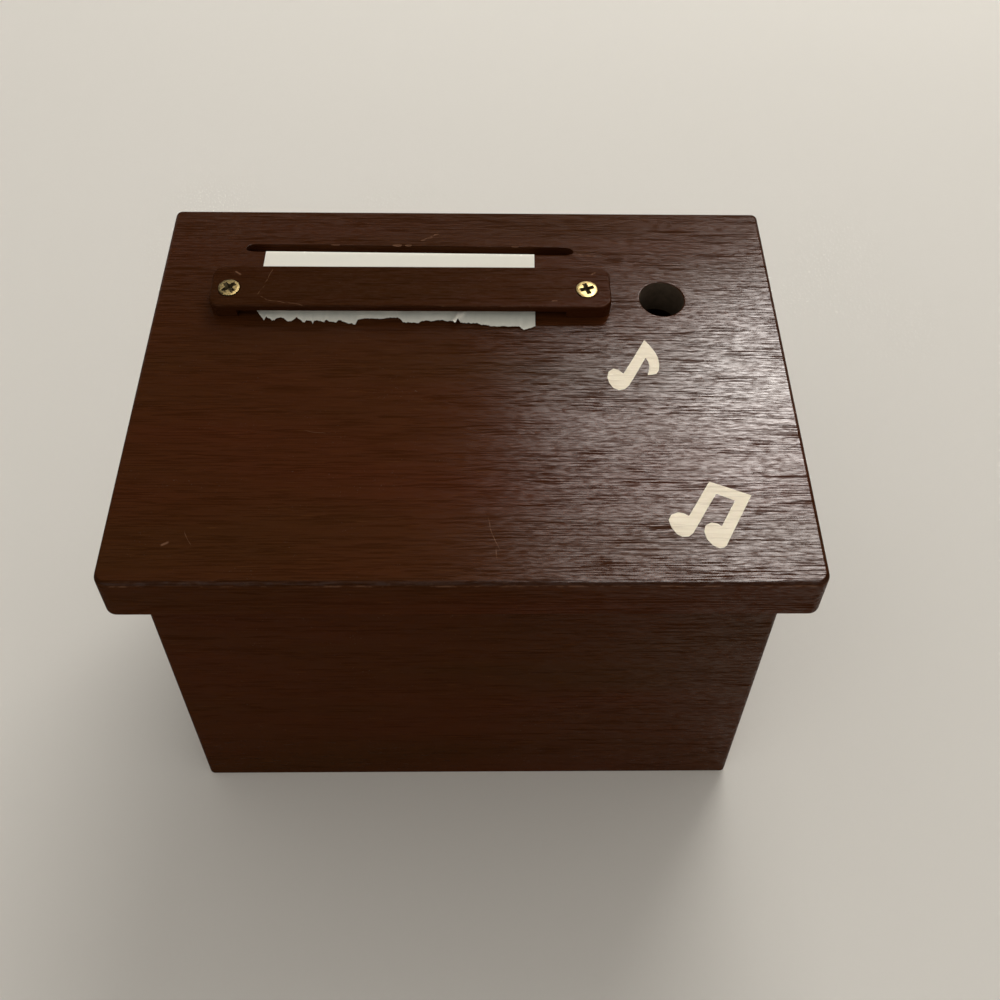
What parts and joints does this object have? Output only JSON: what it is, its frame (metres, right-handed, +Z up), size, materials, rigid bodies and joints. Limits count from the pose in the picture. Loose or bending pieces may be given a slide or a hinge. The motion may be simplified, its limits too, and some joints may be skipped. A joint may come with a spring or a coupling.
{
  "type": "memo paper box",
  "caption": "Wooden desk box with a sloping hinged lid that dispenses memo paper under a tear bar, holds a pencil and carries a wind-up music movement.",
  "frame": {"origin": "centre of the whole object's footprint, on the surface it stands on", "axes": "+Z up, +X to the right as seen from the low front edge, +Y towards the hinged rear"},
  "size_m": [0.127, 0.0892, 0.0949],
  "materials": {
    "lacquered_wood": "dark red-brown lacquer, satin gloss, open pores",
    "bare_wood": "unfinished pale softwood, sanded",
    "hinge_brass": "plain brass, slightly dulled",
    "screw_brass": "brass-plated, bright",
    "movement_brass": "machined brass",
    "steel": "plain bright steel",
    "cast_metal": "die-cast zinc, dull grey",
    "paper": "uncoated white paper",
    "cardboard": "spiral-wound grey-brown card",
    "fan_plastic": "cream moulded plastic"
  },
  "bodies": {
    "case": {"front_panel": "lacquered_wood", "back_panel": "lacquered_wood", "left_side": "lacquered_wood", "right_side": "lacquered_wood", "bottom_board": "bare_wood", "roll_cheek_left": "bare_wood", "roll_cheek_right": "bare_wood", "roll_spindle": "bare_wood", "hinge_leaf_case_left": "hinge_brass", "hinge_leaf_case_right": "hinge_brass", "hinge_pin_left": "hinge_brass", "hinge_pin_right": "hinge_brass", "hinge_screw_case_left_1": "hinge_brass", "hinge_screw_case_left_2": "hinge_brass", "hinge_screw_case_right_1": "hinge_brass", "hinge_screw_case_right_2": "hinge_brass", "paper_web": "paper", "bedplate": "cast_metal", "comb": "steel", "comb_screw_1": "steel", "comb_screw_2": "steel", "governor_frame": "movement_brass", "governor_frame_screw": "steel", "movement_screw_1": "steel", "movement_screw_2": "steel", "movement_screw_3": "steel", "lever_bracket": "steel", "lever_pivot_pin": "steel", "lever_spring": "steel", "lever_bracket_screw": "steel"},
    "lid": {"lid_board": "lacquered_wood", "tear_bar": "lacquered_wood", "tear_bar_screw_left": "screw_brass", "tear_bar_screw_right": "screw_brass", "paper_strip": "paper", "hinge_leaf_lid_left": "hinge_brass", "hinge_leaf_lid_right": "hinge_brass", "hinge_screw_lid_left_1": "hinge_brass", "hinge_screw_lid_left_2": "hinge_brass", "hinge_screw_lid_right_1": "hinge_brass", "hinge_screw_lid_right_2": "hinge_brass"},
    "roll": {"paper_roll": "paper", "roll_core": "cardboard"},
    "barrel": {"spring_barrel": "movement_brass", "barrel_cover": "movement_brass", "mainspring": "steel"},
    "cylinder": {"pinned_cylinder": "movement_brass", "cylinder_arbor": "steel", "cylinder_pinion": "steel", "cylinder_wheel": "movement_brass"},
    "governor": {"governor_wheel": "movement_brass"},
    "fly": {"fly_shaft": "steel", "fly_fan": "fan_plastic"},
    "key": {"winding_key": "movement_brass", "winding_arbor": "steel"},
    "stop": {"stop_lever": "movement_brass"}
  },
  "joints": [
    {"name": "lid_hinge", "type": "hinge", "parent": "case", "child": "lid", "pos_m": [0, 0.0432, 0.08679], "axis": [-1, 0, 0], "range_deg": [0, 175]},
    {"name": "roll_spin", "type": "hinge", "parent": "case", "child": "roll", "pos_m": [-0.0146, 0.0147, 0.05804], "axis": [1, 0, 0], "continuous": true},
    {"name": "barrel_spin", "type": "hinge", "parent": "case", "child": "barrel", "pos_m": [-0.0316, -0.0201, 0.024], "axis": [0, 0, 1], "continuous": true},
    {"name": "cylinder_spin", "type": "hinge", "parent": "case", "child": "cylinder", "pos_m": [-0.0091, -0.0201, 0.034], "axis": [1, 0, 0], "continuous": true},
    {"name": "governor_spin", "type": "hinge", "parent": "case", "child": "governor", "pos_m": [0.0049, -0.01135, 0.034], "axis": [1, 0, 0], "continuous": true},
    {"name": "fly_spin", "type": "hinge", "parent": "case", "child": "fly", "pos_m": [0.0074, -0.00505, 0.034], "axis": [0, 0, 1], "continuous": true},
    {"name": "key_turn", "type": "hinge", "parent": "case", "child": "key", "pos_m": [-0.0316, -0.0201, 0.008], "axis": [0, 0, 1], "continuous": true},
    {"name": "stop_lever_tilt", "type": "hinge", "parent": "case", "child": "stop", "pos_m": [0.0256, 0.0109, 0.0305], "axis": [-1, 0, 0], "range_deg": [0, 7], "stiffness_Nm_per_rad": 0.005, "springref_deg": -17.19, "deforming": ["lever_spring"]}
  ],
  "couplings": [
    {"joint": "cylinder_spin", "follows": "barrel_spin", "ratio": 2.1},
    {"joint": "governor_spin", "follows": "barrel_spin", "ratio": -8.4},
    {"joint": "fly_spin", "follows": "barrel_spin", "ratio": 67.2}
  ]
}
